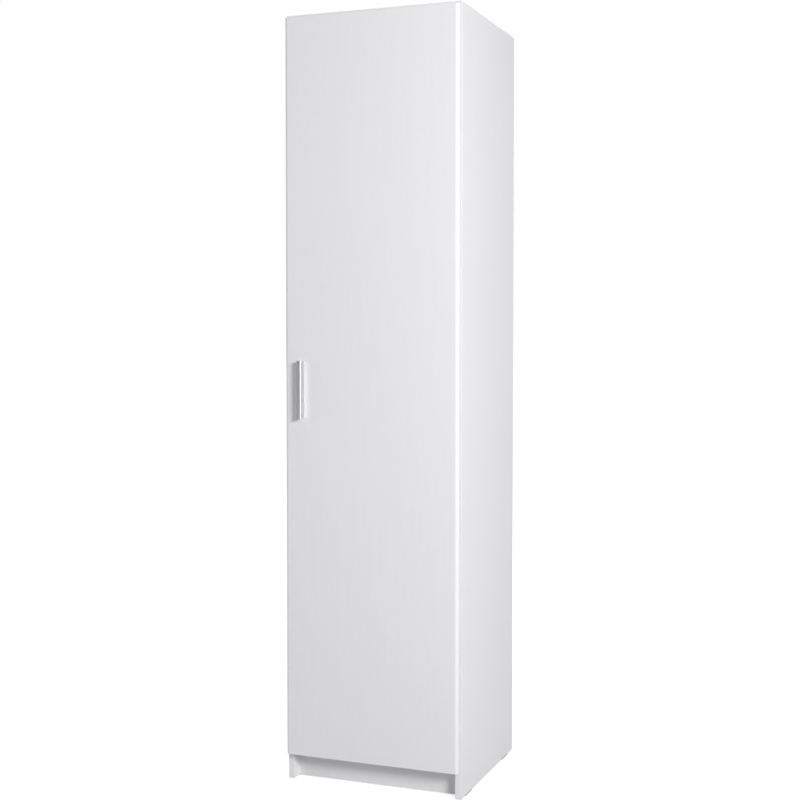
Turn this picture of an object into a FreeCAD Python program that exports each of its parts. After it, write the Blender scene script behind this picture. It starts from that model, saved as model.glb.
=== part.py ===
import FreeCAD, Part
import os

# Broom cupboard of white melamine chipboard with one full-height overlay door.
# Millimetres. +X to the right, +Y to the back, +Z up.
# Origin: on the floor, at the middle of the overall width and depth (handle included).
# The door hangs on the right-hand side and opens towards -Y.

# ---- carcass ----
overall_width = 450.0
overall_height = 1850.0
carcass_depth = 379.0
panel_thickness = 15.0
plinth_height = 60.0
plinth_setback = 28.0
shelf_underside_height = 1480.0
shelf_setback = 8.0
back_thickness = 3.0
back_inset = 2.0
strip_flange_thickness = 1.0
strip_flange_reach = 8.0
strip_web_thickness = 1.2
strip_side_play = 1.0

# ---- door ----
door_thickness = 15.0
door_gap = 2.0
door_side_reveal = 2.0
door_top_reveal = 8.0
door_bottom_overlay = 11.0
door_edge_radius = 9.0

# ---- handle ----
handle_length = 140.0
handle_width = 12.0
handle_projection = 18.0
handle_edge_radius = 3.4
handle_end_undercut = 3.0
handle_screw_spacing = 128.0
handle_inset = 45.5
handle_screw_radius = 2.0
handle_screw_depth = 11.0
handle_screw_head_radius = 4.0
handle_screw_head_height = 2.4

# ---- glides under the side panels ----
glide_height = 3.0
glide_length = 46.0
glide_width = 13.0
glide_end_distance = 33.0
glide_corner_radius = 3.0
glide_nail_spacing = 28.0
glide_nail_radius = 0.9
glide_nail_head_radius = 2.0
glide_nail_head_height = 0.8
glide_nail_sink = 0.8
glide_nail_length = 14.0

# ---- fits ----
fastener_play = 0.05
hinge_play = 0.4
hole_end_room = 1.0
direction_slack = 0.01

# ---- cam locks, their bolts and the dowels ----
cam_bore_radius = 7.5
cam_bore_depth = 12.5
cam_play = 0.1
cam_end_room = 0.5
cam_cap_height = 1.0
cam_distance = 34.0
cam_slot_width = 7.2
cam_slot_start = 3.5
cam_cross_length = 8.0
cam_cross_width = 1.2
cam_cross_depth = 1.2
bolt_thread_radius = 2.5
bolt_thread_length = 9.0
bolt_shank_radius = 3.4
bolt_neck_radius = 1.8
bolt_neck_length = 4.0
bolt_head_radius = 3.0
bolt_head_length = 3.0
bolt_head_room = 2.0
bolt_channel_play = 0.6
cam_edge_distance = 62.0
dowel_radius = 4.0
dowel_in_side = 10.0
dowel_in_board = 20.0
dowel_edge_distance = 30.0
plinth_dowel_edge_distance = 15.0

# ---- concealed hinges ----
hinge_count = 4
hinge_end_distance = 100.0
cup_edge_distance = 21.5
cup_radius = 17.45
cup_wall = 0.8
cup_depth = 11.5
cup_flange_radius = 18.6
cup_flange_thickness = 1.2
cup_screw_spacing = 45.0
cup_screw_offset = 9.5
cup_ear_half_width = 6.0
cup_ear_corner_radius = 5.0
cup_screw_radius = 1.75
cup_screw_length = 10.0
cup_screw_head_radius = 3.2
cup_screw_head_height = 0.9
cup_pin_radius = 1.25
cup_pin_from_edge = 35.0
cup_pin_depth = 6.9
cup_lug_thickness = 2.0
cup_lug_half_width = 2.2
arm_width = 16.0
arm_sheet = 1.2
arm_nose_radius = 4.0
arm_nose_slot = 6.0
arm_height_above_side = 13.0
arm_foot_above_side = 4.5
arm_end_distance = 64.0
lever_pivot_from_side = 11.7
lever_pivot_behind_front = 2.8
lever_reach_across = 8.7
lever_reach_forward = 8.1
lever_half_width = 2.2
lever_sheet = 1.2
lever_pin_radius = 1.2
lever_pin_head_radius = 1.9
lever_pin_head_height = 0.6
inner_lever_half_thickness = 2.5
lever_web_offset = 0.6
lever_web_start = 3.5
plate_thickness = 2.0
plate_half_width = 8.0
plate_front_distance = 24.0
plate_rear_distance = 62.0
plate_wing_half_length = 22.0
plate_wing_half_width = 8.0
plate_corner_radius = 4.0
plate_ridge_inset = 2.0
plate_screw_line = 37.0
plate_screw_spacing = 32.0
plate_screw_radius = 2.5
plate_screw_depth = 11.0
plate_screw_head_radius = 4.5
plate_screw_head_height = 1.6
arm_screw_line = 50.0
arm_screw_radius = 2.0
arm_screw_depth = 8.0
arm_screw_head_radius = 3.4
arm_screw_head_height = 1.5
driver_slot_width = 1.0
driver_slot_depth = 0.6

# ---- bumpers between the door and the left side ----
bumper_radius = 4.5
bumper_end_distance = 60.0

# ---- nails that hold the back ----
nail_radius = 0.7
nail_head_radius = 1.8
nail_head_height = 0.6
nail_length = 22.0
nail_pitch = 140.0
nail_end_distance = 25.0
nail_joint_distance = 22.0
nails_per_board = 4

# ---- wall bracket against tipping ----
bracket_width = 24.0
bracket_leg = 30.0
bracket_sheet = 2.0
bracket_corner_radius = 4.0
wall_hole_radius = 3.0
wall_hole_drop = 18.0
bracket_screw_spacing = 12.0
bracket_screw_radius = 1.75
bracket_screw_length = 12.0
bracket_screw_head_radius = 3.2
bracket_screw_head_height = 1.6
bracket_screw_line = 19.0

# ---- places worked out from the sizes ----
half_width = overall_width / 2
inner_half = half_width - panel_thickness
overall_depth = (handle_projection + door_thickness + door_gap + carcass_depth
                 + back_thickness + strip_flange_thickness)
door_front = -overall_depth / 2 + handle_projection
door_rear = door_front + door_thickness
carcass_front = door_rear + door_gap
carcass_rear = carcass_front + carcass_depth
back_rear = carcass_rear + back_thickness
panel_bottom = glide_height
bottom_panel_underside = panel_bottom + plinth_height
bottom_panel_top = bottom_panel_underside + panel_thickness
top_panel_underside = overall_height - panel_thickness
shelf_front = carcass_front + shelf_setback
plinth_front = carcass_front + plinth_setback
door_half_width = half_width - door_side_reveal
door_bottom = bottom_panel_top - door_bottom_overlay
door_top = overall_height - door_top_reveal
handle_x = -door_half_width + handle_inset
handle_centre_height = (door_bottom + door_top) / 2
cup_x = door_half_width - cup_edge_distance
lever_pivot_x = inner_half - lever_pivot_from_side
lever_pivot_y = carcass_front + lever_pivot_behind_front
lever_tip_x = lever_pivot_x - lever_reach_across
lever_tip_y = lever_pivot_y - lever_reach_forward
back_bottom = bottom_panel_underside + back_inset
back_top = overall_height - back_inset
back_joint_height = (back_bottom + back_top) / 2
cam_radius = cam_bore_radius - cam_play
cam_height = cam_bore_depth - cam_cap_height - cam_end_room
bolt_shank_length = cam_distance - bolt_head_room - bolt_head_length - bolt_neck_length
bolt_channel_radius = bolt_shank_radius + bolt_channel_play

X = FreeCAD.Vector(1, 0, 0)
Y = FreeCAD.Vector(0, 1, 0)
Z = FreeCAD.Vector(0, 0, 1)


def box(x0, x1, y0, y1, z0, z1):
    """Block between two corners."""
    return Part.makeBox(x1 - x0, y1 - y0, z1 - z0, FreeCAD.Vector(x0, y0, z0))


def rod(radius, length, x, y, z, axis):
    """Cylinder that starts at a point and runs along an axis."""
    return Part.makeCylinder(radius, length, FreeCAD.Vector(x, y, z), axis)


def joined(shapes):
    """One solid from overlapping or touching shapes."""
    whole = shapes[0]
    for shape in shapes[1:]:
        whole = whole.fuse(shape)
    return whole.removeSplitter()


def without(shape, cutters):
    """The shape less all of the cutters."""
    if not cutters:
        return shape
    return shape.cut(Part.makeCompound(cutters))


def edges_along(shape, axis, at=None):
    """Straight edges that run along an axis, all or those whose middle passes a test."""
    found = []
    for edge in shape.Edges:
        if edge.Curve.TypeId != "Part::GeomLine":
            continue
        if edge.tangentAt(edge.FirstParameter).cross(axis).Length > direction_slack:
            continue
        if at is None or at(edge.CenterOfMass):
            found.append(edge)
    return found


def rounded(shape, radius, axis, at=None):
    """The shape with its edges along an axis rounded."""
    return shape.makeFillet(radius, edges_along(shape, axis, at))


def driver_cross(x, y, z, reach, axis):
    """Cross recess for a screwdriver, from the given point along +Y or +X."""
    half = driver_slot_width / 2
    if axis == Y:
        return [box(x - reach, x + reach, y, y + driver_slot_depth, z - half, z + half),
                box(x - half, x + half, y, y + driver_slot_depth, z - reach, z + reach)]
    return [box(x, x + driver_slot_depth, y - reach, y + reach, z - half, z + half),
            box(x, x + driver_slot_depth, y - half, y + half, z - reach, z + reach)]


# ---- where the fittings stand ----

def hinge_heights():
    """Heights of the hinges, evenly spaced between the end ones."""
    lowest = door_bottom + hinge_end_distance
    step = (door_top - hinge_end_distance - lowest) / (hinge_count - 1)
    return [lowest + step * i for i in range(hinge_count)]


def board_joints():
    """(side sign, board underside, front and rear limits) of each board's two ends."""
    boards = [(top_panel_underside, carcass_front), (shelf_underside_height, shelf_front),
              (bottom_panel_underside, carcass_front)]
    return [(sign, low, front) for low, front in boards for sign in (-1, 1)]


def cam_places():
    """(side sign, y, board underside) of each cam lock."""
    places = []
    for sign, low, front in board_joints():
        for y in (front + cam_edge_distance, carcass_rear - cam_edge_distance):
            places.append((sign, y, low))
    return places


def dowel_places():
    """(side sign, y, z) of each dowel."""
    places = []
    for sign, low, front in board_joints():
        for y in (front + dowel_edge_distance, carcass_rear - dowel_edge_distance):
            places.append((sign, y, low + panel_thickness / 2))
    plinth_y = plinth_front + panel_thickness / 2
    for sign in (-1, 1):
        for z in (panel_bottom + plinth_dowel_edge_distance,
                  bottom_panel_underside - plinth_dowel_edge_distance):
            places.append((sign, plinth_y, z))
    return places


def nail_places():
    """(x, z) of each nail in the back, up the sides of both sheets and along the boards."""
    places = []
    side_x = half_width - panel_thickness / 2
    for first, last in ((back_bottom + nail_end_distance, back_joint_height - nail_joint_distance),
                        (back_joint_height + nail_joint_distance, back_top - nail_end_distance)):
        count = max(2, round((last - first) / nail_pitch) + 1)
        for i in range(count):
            z = first + (last - first) * i / (count - 1)
            places += [(-side_x, z), (side_x, z)]
    spread = 2 * (inner_half - nail_end_distance)
    for low in (top_panel_underside, shelf_underside_height, bottom_panel_underside):
        for i in range(nails_per_board):
            x = spread * i / (nails_per_board - 1) - spread / 2
            places.append((x, low + panel_thickness / 2))
    return places


def glide_places():
    """(x, y) of each glide's middle."""
    x = half_width - panel_thickness / 2
    first = carcass_front + glide_end_distance + glide_length / 2
    last = carcass_rear - glide_end_distance - glide_length / 2
    return [(sign * x, y) for sign in (-1, 1) for y in (first, last)]


def side_by_side(sign, near, far):
    """Two x values in rising order, given as distances from the middle on one side."""
    return sorted((sign * near, sign * far))


# ---- cutters shared by the boards and what they carry ----

def cam_bolt_shape(sign, y, low, play):
    """Connecting bolt, or its room when play is added, from the side to the cam."""
    z = low + panel_thickness / 2
    inward = X * -sign
    face = sign * inner_half
    thread = rod(bolt_thread_radius + play, bolt_thread_length, face, y, z, X * sign)
    shank = rod(bolt_shank_radius + play, bolt_shank_length, face, y, z, inward)
    neck_start = face - sign * bolt_shank_length
    neck = rod(bolt_neck_radius + play, bolt_neck_length, neck_start, y, z, inward)
    head_start = neck_start - sign * bolt_neck_length
    head = rod(bolt_head_radius + play, bolt_head_length, head_start, y, z, inward)
    return joined([thread, shank, neck, head])


def board_end_cuts(low):
    """Cam bores, bolt channels and dowel holes of one board."""
    cuts = []
    for sign, y, underside in cam_places():
        if underside != low:
            continue
        x = sign * (inner_half - cam_distance)
        cuts.append(rod(cam_bore_radius, cam_bore_depth, x, y, low, Z))
        cuts.append(rod(bolt_channel_radius, cam_distance, sign * inner_half, y,
                        low + panel_thickness / 2, X * -sign))
    for sign, y, z in dowel_places():
        if abs(z - low - panel_thickness / 2) < fastener_play:
            cuts.append(rod(dowel_radius + fastener_play, dowel_in_board + hole_end_room,
                            sign * inner_half, y, z, X * -sign))
    return cuts


def nail_holes():
    """Holes of all the nails of the back."""
    return [rod(nail_radius + fastener_play, nail_length + fastener_play, x, back_rear, z, Y * -1)
            for x, z in nail_places()]


# ---- carcass pieces ----

def side_panel(sign):
    """Side panel, full height, with the holes of all that is fixed to it."""
    x0, x1 = side_by_side(sign, inner_half, half_width)
    panel = box(x0, x1, carcass_front, carcass_rear, panel_bottom, overall_height)
    face = sign * inner_half
    outward = X * sign
    cuts = []
    for side, y, low in cam_places():
        if side == sign:
            cuts.append(rod(bolt_thread_radius + fastener_play, bolt_thread_length + hole_end_room,
                            face, y, low + panel_thickness / 2, outward))
    for side, y, z in dowel_places():
        if side == sign:
            cuts.append(rod(dowel_radius + fastener_play, dowel_in_side + hole_end_room,
                            face, y, z, outward))
    for x, y in glide_places():
        if x * sign > 0:
            for nail_y in glide_nail_lines(y):
                cuts.append(rod(glide_nail_radius + fastener_play, glide_nail_length,
                                x, nail_y, panel_bottom, Z))
    if sign > 0:
        for z in hinge_heights():
            for dz in (-plate_screw_spacing / 2, plate_screw_spacing / 2):
                cuts.append(rod(plate_screw_radius + fastener_play, plate_screw_depth + hole_end_room,
                                face, carcass_front + plate_screw_line, z + dz, outward))
    return without(panel, cuts + nail_holes())


def board(low, front):
    """Board between the sides, with its joint bores."""
    plain = box(-inner_half, inner_half, front, carcass_rear, low, low + panel_thickness)
    return without(plain, board_end_cuts(low) + nail_holes())


def top_panel():
    return without(board(top_panel_underside, carcass_front), bracket_screw_holes())


def plinth():
    """Board under the bottom panel, set back from the front edges."""
    plain = box(-inner_half, inner_half, plinth_front, plinth_front + panel_thickness,
                panel_bottom, bottom_panel_underside)
    cuts = []
    for sign, y, z in dowel_places():
        if z < bottom_panel_underside:
            cuts.append(rod(dowel_radius + fastener_play, dowel_in_board + hole_end_room,
                            sign * inner_half, y, z, X * -sign))
    return without(plain, cuts)


def back_sheet(low, high):
    """Hardboard sheet on the rear edges, with sunk seats for the nail heads."""
    reach = half_width - back_inset
    sheet = box(-reach, reach, carcass_rear, back_rear, low, high)
    cuts = nail_holes()
    for x, z in nail_places():
        cuts.append(rod(nail_head_radius + fastener_play, nail_head_height, x, back_rear, z, Y * -1))
    cuts.append(rod(wall_hole_radius, back_thickness, 0, back_rear, wall_hole_z(), Y * -1))
    return without(sheet, cuts)


def back_panel_lower():
    return back_sheet(back_bottom, back_joint_height - strip_web_thickness / 2)


def back_panel_upper():
    return back_sheet(back_joint_height + strip_web_thickness / 2, back_top)


def back_joint_strip():
    """H strip that holds the edges of the two back sheets."""
    reach = inner_half - strip_side_play
    low = back_joint_height - strip_flange_reach
    high = back_joint_height + strip_flange_reach
    web = box(-reach, reach, carcass_rear, back_rear,
              back_joint_height - strip_web_thickness / 2, back_joint_height + strip_web_thickness / 2)
    inner = box(-reach, reach, carcass_rear - strip_flange_thickness, carcass_rear, low, high)
    outer = box(-reach, reach, back_rear, back_rear + strip_flange_thickness, low, high)
    return joined([web, inner, outer])


# ---- door and handle ----

def handle_screw_heights():
    half = handle_screw_spacing / 2
    return (handle_centre_height - half, handle_centre_height + half)


def cup_screw_places(z):
    """(x, z) of the two screws of a hinge cup."""
    half = cup_screw_spacing / 2
    return [(cup_x - cup_screw_offset, z - half), (cup_x - cup_screw_offset, z + half)]


def door_panel():
    """Door leaf with rounded long front edges, cup bores and screw holes."""
    leaf = box(-door_half_width, door_half_width, door_front, door_rear, door_bottom, door_top)
    middle = (door_front + door_rear) / 2
    leaf = rounded(leaf, door_edge_radius, Z, lambda point: point.y < middle)
    cuts = []
    for z in hinge_heights():
        cuts.append(rod(cup_radius + fastener_play, cup_depth, cup_x, door_rear, z, Y * -1))
        for x, screw_z in cup_screw_places(z):
            cuts.append(rod(cup_screw_radius + fastener_play, cup_screw_length, x, door_rear,
                            screw_z, Y * -1))
    for z in handle_screw_heights():
        cuts.append(rod(handle_screw_radius + fastener_play, door_thickness, handle_x,
                        door_rear, z, Y * -1))
    return without(leaf, cuts)


def handle():
    """Slim bar handle with rounded front edges and undercut ends."""
    half = handle_length / 2
    low = handle_centre_height - half
    high = handle_centre_height + half
    front = door_front - handle_projection
    x0 = handle_x - handle_width / 2
    outline = Part.makePolygon([
        FreeCAD.Vector(x0, front, low), FreeCAD.Vector(x0, front, high),
        FreeCAD.Vector(x0, door_front, high - handle_end_undercut),
        FreeCAD.Vector(x0, door_front, low + handle_end_undercut),
        FreeCAD.Vector(x0, front, low)])
    bar = Part.Face(outline).extrude(X * handle_width)
    bar = rounded(bar, handle_edge_radius, Z, lambda point: point.y < front + fastener_play)
    cuts = [rod(handle_screw_radius + fastener_play, handle_screw_depth + hole_end_room,
                handle_x, door_front, z, Y * -1) for z in handle_screw_heights()]
    return without(bar, cuts)


def handle_screws():
    """Machine screws through the door into the handle."""
    screws = []
    head_face = door_rear + handle_screw_head_height
    for z in handle_screw_heights():
        head = rod(handle_screw_head_radius, handle_screw_head_height, handle_x, door_rear, z, Y)
        shank = rod(handle_screw_radius, door_thickness + handle_screw_depth, handle_x,
                    door_rear, z, Y * -1)
        cross = driver_cross(handle_x, head_face - driver_slot_depth, z,
                             handle_screw_head_radius / 2, Y)
        screws.append(without(joined([head, shank]), cross))
    return screws


# ---- concealed hinges ----

def hinge_cups():
    """Pressed cups with a flange, two ears and the lugs of the cup pin."""
    cups = []
    floor = door_rear - cup_depth + cup_wall
    rim = door_rear + cup_flange_thickness
    pin_y = door_rear - cup_pin_depth
    pin_x = door_half_width - cup_pin_from_edge
    for z in hinge_heights():
        body = rod(cup_radius, cup_depth, cup_x, door_rear, z, Y * -1)
        flange = rod(cup_flange_radius, cup_flange_thickness, cup_x, door_rear, z, Y)
        ear_x = cup_x - cup_screw_offset
        ear_reach = cup_screw_spacing / 2 + cup_ear_half_width
        ears = box(ear_x - cup_ear_half_width, ear_x + cup_ear_half_width, door_rear, rim,
                   z - ear_reach, z + ear_reach)
        ears = rounded(ears, cup_ear_corner_radius, Y)
        shell = joined([body, flange, ears])
        hollow = rod(cup_radius - cup_wall, rim - floor, cup_x, floor, z, Y)
        shell = without(shell, [hollow])
        lugs = []
        for sign in (-1, 1):
            z0, z1 = sorted((z + sign * (arm_width / 2 - cup_wall),
                             z + sign * (arm_width / 2 - cup_wall + cup_lug_thickness)))
            lug = box(pin_x - cup_lug_half_width, pin_x + cup_lug_half_width,
                      floor - cup_wall / 2, pin_y + cup_lug_half_width, z0, z1)
            lugs.append(lug.common(body))
        shell = joined([shell] + lugs)
        cuts = [cup_pin_rod(z, fastener_play)]
        for x, screw_z in cup_screw_places(z):
            cuts.append(rod(cup_screw_radius + fastener_play, cup_flange_thickness, x, door_rear,
                            screw_z, Y))
        cups.append(without(shell, cuts))
    return cups


def cup_pin_rod(z, play):
    """The pin across the cup, or its hole when play is added."""
    reach = arm_width / 2 - cup_wall + cup_lug_thickness
    return rod(cup_pin_radius + play, 2 * (reach + play), door_half_width - cup_pin_from_edge,
               door_rear - cup_pin_depth, z - reach - play, Z)


def hinge_cup_pins():
    return [cup_pin_rod(z, 0.0) for z in hinge_heights()]


def hinge_cup_screws():
    screws = []
    seat = door_rear + cup_flange_thickness
    for z in hinge_heights():
        for x, screw_z in cup_screw_places(z):
            head = rod(cup_screw_head_radius, cup_screw_head_height, x, seat, screw_z, Y)
            shank = rod(cup_screw_radius, cup_flange_thickness + cup_screw_length - fastener_play,
                        x, seat, screw_z, Y * -1)
            cross = driver_cross(x, seat + cup_screw_head_height - driver_slot_depth, screw_z,
                                 cup_screw_head_radius / 2, Y)
            screws.append(without(joined([head, shank]), cross))
    return screws


def arm_pin_rod(z, play):
    """Pin through the arm's nose and the levers, or its hole when play is added."""
    return rod(lever_pin_radius + play, arm_width + 2 * play, lever_pivot_x, lever_pivot_y,
               z - arm_width / 2 - play, Z)


def hinge_arm_pins():
    """Pins of the arms, riveted over on both cheeks."""
    pins = []
    for z in hinge_heights():
        upper = rod(lever_pin_head_radius, lever_pin_head_height, lever_pivot_x, lever_pivot_y,
                    z + arm_width / 2, Z)
        lower = rod(lever_pin_head_radius, lever_pin_head_height, lever_pivot_x, lever_pivot_y,
                    z - arm_width / 2, Z * -1)
        pins.append(joined([arm_pin_rod(z, 0.0), upper, lower]))
    return pins


def hinge_arms():
    """Channel-shaped arms: a web over two cheeks, forked at the nose."""
    arms = []
    web = inner_half - arm_height_above_side
    foot = inner_half - arm_foot_above_side
    rear = carcass_front + arm_end_distance
    half = arm_width / 2
    inside = half - arm_sheet
    for z in hinge_heights():
        nose = rod(arm_nose_radius, arm_width, lever_pivot_x, lever_pivot_y, z - half, Z)
        beam = box(web, foot, lever_pivot_y, rear, z - half, z + half)
        arm = joined([nose, beam])
        channel = box(web + arm_sheet, foot, lever_pivot_y, rear, z - inside, z + inside)
        fork = box(lever_pivot_x - arm_nose_radius, foot, lever_pivot_y - arm_nose_radius,
                   lever_pivot_y + arm_nose_slot, z - inside, z + inside)
        screw = rod(arm_screw_radius + fastener_play, arm_sheet, web,
                    carcass_front + arm_screw_line, z, X)
        arms.append(without(arm, [channel, fork, screw, arm_pin_rod(z, fastener_play)]))
    return arms


def along_lever(side_low, side_high, start, z0, z1):
    """Bar along the lever's line to its tip, between two offsets to the sides of that line."""
    line = FreeCAD.Vector(lever_tip_x - lever_pivot_x, lever_tip_y - lever_pivot_y, 0)
    end = line.Length
    line.normalize()
    across = Z.cross(line)
    pivot = FreeCAD.Vector(lever_pivot_x, lever_pivot_y, z0)
    corners = [pivot + line * a + across * b
               for a, b in ((start, side_low), (end, side_low), (end, side_high), (start, side_high))]
    return Part.Face(Part.makePolygon(corners + corners[:1])).extrude(Z * (z1 - z0))


def lever_cheek(z0, z1):
    """Flat cheek with round ends at the pivot and at the tip."""
    pivot_eye = rod(lever_half_width, z1 - z0, lever_pivot_x, lever_pivot_y, z0, Z)
    tip_eye = rod(lever_half_width, z1 - z0, lever_tip_x, lever_tip_y, z0, Z)
    bar = along_lever(-lever_half_width, lever_half_width, 0, z0, z1)
    return joined([pivot_eye, tip_eye, bar])


def hinge_outer_levers():
    """U-shaped levers: two cheeks joined by a web along one edge."""
    levers = []
    outside = arm_width / 2 - arm_sheet - hinge_play
    inside = outside - lever_sheet
    for z in hinge_heights():
        upper = lever_cheek(z + inside, z + outside)
        lower = lever_cheek(z - outside, z - inside)
        web = along_lever(lever_web_offset, lever_half_width, lever_web_start, z - outside, z + outside)
        levers.append(without(joined([upper, lower, web]), [arm_pin_rod(z, fastener_play)]))
    return levers


def hinge_inner_levers():
    """Flat levers between the cheeks of the outer ones."""
    levers = []
    half = inner_lever_half_thickness
    for z in hinge_heights():
        eye = rod(lever_half_width, 2 * half, lever_pivot_x, lever_pivot_y, z - half, Z)
        bar = along_lever(-lever_half_width, 0, 0, z - half, z + half)
        levers.append(without(joined([eye, bar]), [arm_pin_rod(z, fastener_play)]))
    return levers


def hinge_plates():
    """Mounting plates: a winged base and the ridge that the arm is screwed to."""
    plates = []
    face = inner_half
    base = face - plate_thickness
    ridge_top = face - arm_height_above_side + arm_sheet
    ridge_half = arm_width / 2 - arm_sheet - hinge_play
    line = carcass_front + plate_screw_line
    for z in hinge_heights():
        foot = box(base, face, carcass_front + plate_front_distance,
                   carcass_front + plate_rear_distance, z - plate_half_width, z + plate_half_width)
        wings = box(base, face, line - plate_wing_half_width, line + plate_wing_half_width,
                    z - plate_wing_half_length, z + plate_wing_half_length)
        wings = rounded(wings, plate_corner_radius, X)
        ridge = box(ridge_top, base, carcass_front + plate_front_distance + plate_ridge_inset,
                    carcass_front + plate_rear_distance - plate_ridge_inset,
                    z - ridge_half, z + ridge_half)
        cuts = [rod(arm_screw_radius + fastener_play, arm_screw_depth, ridge_top,
                    carcass_front + arm_screw_line, z, X)]
        for dz in (-plate_screw_spacing / 2, plate_screw_spacing / 2):
            cuts.append(rod(plate_screw_radius + fastener_play, plate_thickness, base, line, z + dz, X))
        plates.append(without(joined([foot, wings, ridge]), cuts))
    return plates


def hinge_plate_screws():
    screws = []
    seat = inner_half - plate_thickness
    y = carcass_front + plate_screw_line
    for z in hinge_heights():
        for dz in (-plate_screw_spacing / 2, plate_screw_spacing / 2):
            head_face = seat - plate_screw_head_height
            head = rod(plate_screw_head_radius, plate_screw_head_height, head_face, y, z + dz, X)
            shank = rod(plate_screw_radius, plate_thickness + plate_screw_depth, seat, y, z + dz, X)
            cross = driver_cross(head_face, y, z + dz, plate_screw_head_radius / 2, X)
            screws.append(without(joined([head, shank]), cross))
    return screws


def hinge_arm_screws():
    screws = []
    seat = inner_half - arm_height_above_side
    y = carcass_front + arm_screw_line
    for z in hinge_heights():
        head_face = seat - arm_screw_head_height
        head = rod(arm_screw_head_radius, arm_screw_head_height, head_face, y, z, X)
        shank = rod(arm_screw_radius, arm_screw_depth, seat, y, z, X)
        cross = driver_cross(head_face, y, z, arm_screw_head_radius / 2, X)
        screws.append(without(joined([head, shank]), cross))
    return screws


def door_bumpers():
    """Soft pads on the left side's front edge that the closed door rests on."""
    x = -(half_width - panel_thickness / 2)
    heights = (door_bottom + bumper_end_distance, door_top - bumper_end_distance)
    return [rod(bumper_radius, door_gap, x, door_rear, z, Y) for z in heights]


# ---- joint fittings of the carcass ----

def cam_locks():
    """Cams with a slot for the bolt's head and a cross for the driver."""
    cams = []
    for sign, y, low in cam_places():
        x = sign * (inner_half - cam_distance)
        base = low + cam_cap_height
        body = rod(cam_radius, cam_height, x, y, base, Z)
        middle = low + panel_thickness / 2
        half = cam_slot_width / 2
        x0, x1 = sorted((x - sign * cam_slot_start, x + sign * cam_radius))
        slot = box(x0, x1, y - half, y + half, middle - half, middle + half)
        reach = cam_cross_length / 2
        thin = cam_cross_width / 2
        cross = [box(x - reach, x + reach, y - thin, y + thin, base, base + cam_cross_depth),
                 box(x - thin, x + thin, y - reach, y + reach, base, base + cam_cross_depth)]
        cams.append(without(body, [slot] + cross))
    return cams


def cam_bolts():
    return [cam_bolt_shape(sign, y, low, 0.0) for sign, y, low in cam_places()]


def cam_caps():
    """Cover caps in the bores that can be seen from inside."""
    caps = []
    for sign, y, low in cam_places():
        if low > bottom_panel_top:
            x = sign * (inner_half - cam_distance)
            caps.append(rod(cam_radius, cam_cap_height, x, y, low, Z))
    return caps


def dowels():
    """Wooden dowels with one end in the side and one in the board."""
    length = dowel_in_side + dowel_in_board
    return [rod(dowel_radius, length, sign * (inner_half + dowel_in_side), y, z, X * -sign)
            for sign, y, z in dowel_places()]


def back_nails():
    nails = []
    for x, z in nail_places():
        head = rod(nail_head_radius, nail_head_height, x, back_rear, z, Y * -1)
        shank = rod(nail_radius, nail_length, x, back_rear, z, Y * -1)
        nails.append(joined([head, shank]))
    return nails


def glide_nail_lines(y):
    return (y - glide_nail_spacing / 2, y + glide_nail_spacing / 2)


def glides():
    """Flat plastic glides nailed under the side panels."""
    pads = []
    for x, y in glide_places():
        pad = box(x - glide_width / 2, x + glide_width / 2, y - glide_length / 2,
                  y + glide_length / 2, 0, glide_height)
        pad = rounded(pad, glide_corner_radius, Z)
        cuts = []
        for nail_y in glide_nail_lines(y):
            cuts.append(rod(glide_nail_radius + fastener_play, glide_height, x, nail_y, 0, Z))
            cuts.append(rod(glide_nail_head_radius + fastener_play,
                            glide_nail_sink + glide_nail_head_height, x, nail_y, 0, Z))
        pads.append(without(pad, cuts))
    return pads


def glide_nails():
    nails = []
    for x, y in glide_places():
        for nail_y in glide_nail_lines(y):
            head = rod(glide_nail_head_radius, glide_nail_head_height, x, nail_y, glide_nail_sink, Z)
            shank = rod(glide_nail_radius, glide_nail_length, x, nail_y, glide_nail_sink, Z)
            nails.append(joined([head, shank]))
    return nails


# ---- wall bracket ----

def wall_hole_z():
    return top_panel_underside - wall_hole_drop


def bracket_screw_places():
    """(x, y) of the screws that hold the bracket to the top panel."""
    y = carcass_rear - bracket_screw_line
    half = bracket_screw_spacing / 2
    return [(-half, y), (half, y)]


def bracket_screw_holes():
    return [rod(bracket_screw_radius + fastener_play, bracket_screw_length, x, y,
                top_panel_underside, Z) for x, y in bracket_screw_places()]


def wall_bracket():
    """Angle under the top panel with a hole towards the wall."""
    half = bracket_width / 2
    flat = box(-half, half, carcass_rear - bracket_leg, carcass_rear,
               top_panel_underside - bracket_sheet, top_panel_underside)
    upright = box(-half, half, carcass_rear - bracket_sheet, carcass_rear,
                  top_panel_underside - bracket_leg, top_panel_underside)
    flat = rounded(flat, bracket_corner_radius, Z,
                   lambda point: point.y < carcass_rear - bracket_leg / 2)
    upright = rounded(upright, bracket_corner_radius, Y,
                      lambda point: point.z < top_panel_underside - bracket_leg / 2)
    cuts = [rod(wall_hole_radius, bracket_sheet, 0, carcass_rear, wall_hole_z(), Y * -1)]
    for x, y in bracket_screw_places():
        cuts.append(rod(bracket_screw_radius + fastener_play, bracket_sheet, x, y,
                        top_panel_underside, Z * -1))
    return without(joined([flat, upright]), cuts)


def wall_bracket_screws():
    screws = []
    seat = top_panel_underside - bracket_sheet
    for x, y in bracket_screw_places():
        head = rod(bracket_screw_head_radius, bracket_screw_head_height, x, y, seat, Z * -1)
        shank = rod(bracket_screw_radius, bracket_sheet + bracket_screw_length - fastener_play,
                    x, y, seat, Z)
        screws.append(joined([head, shank]))
    return screws


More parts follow.
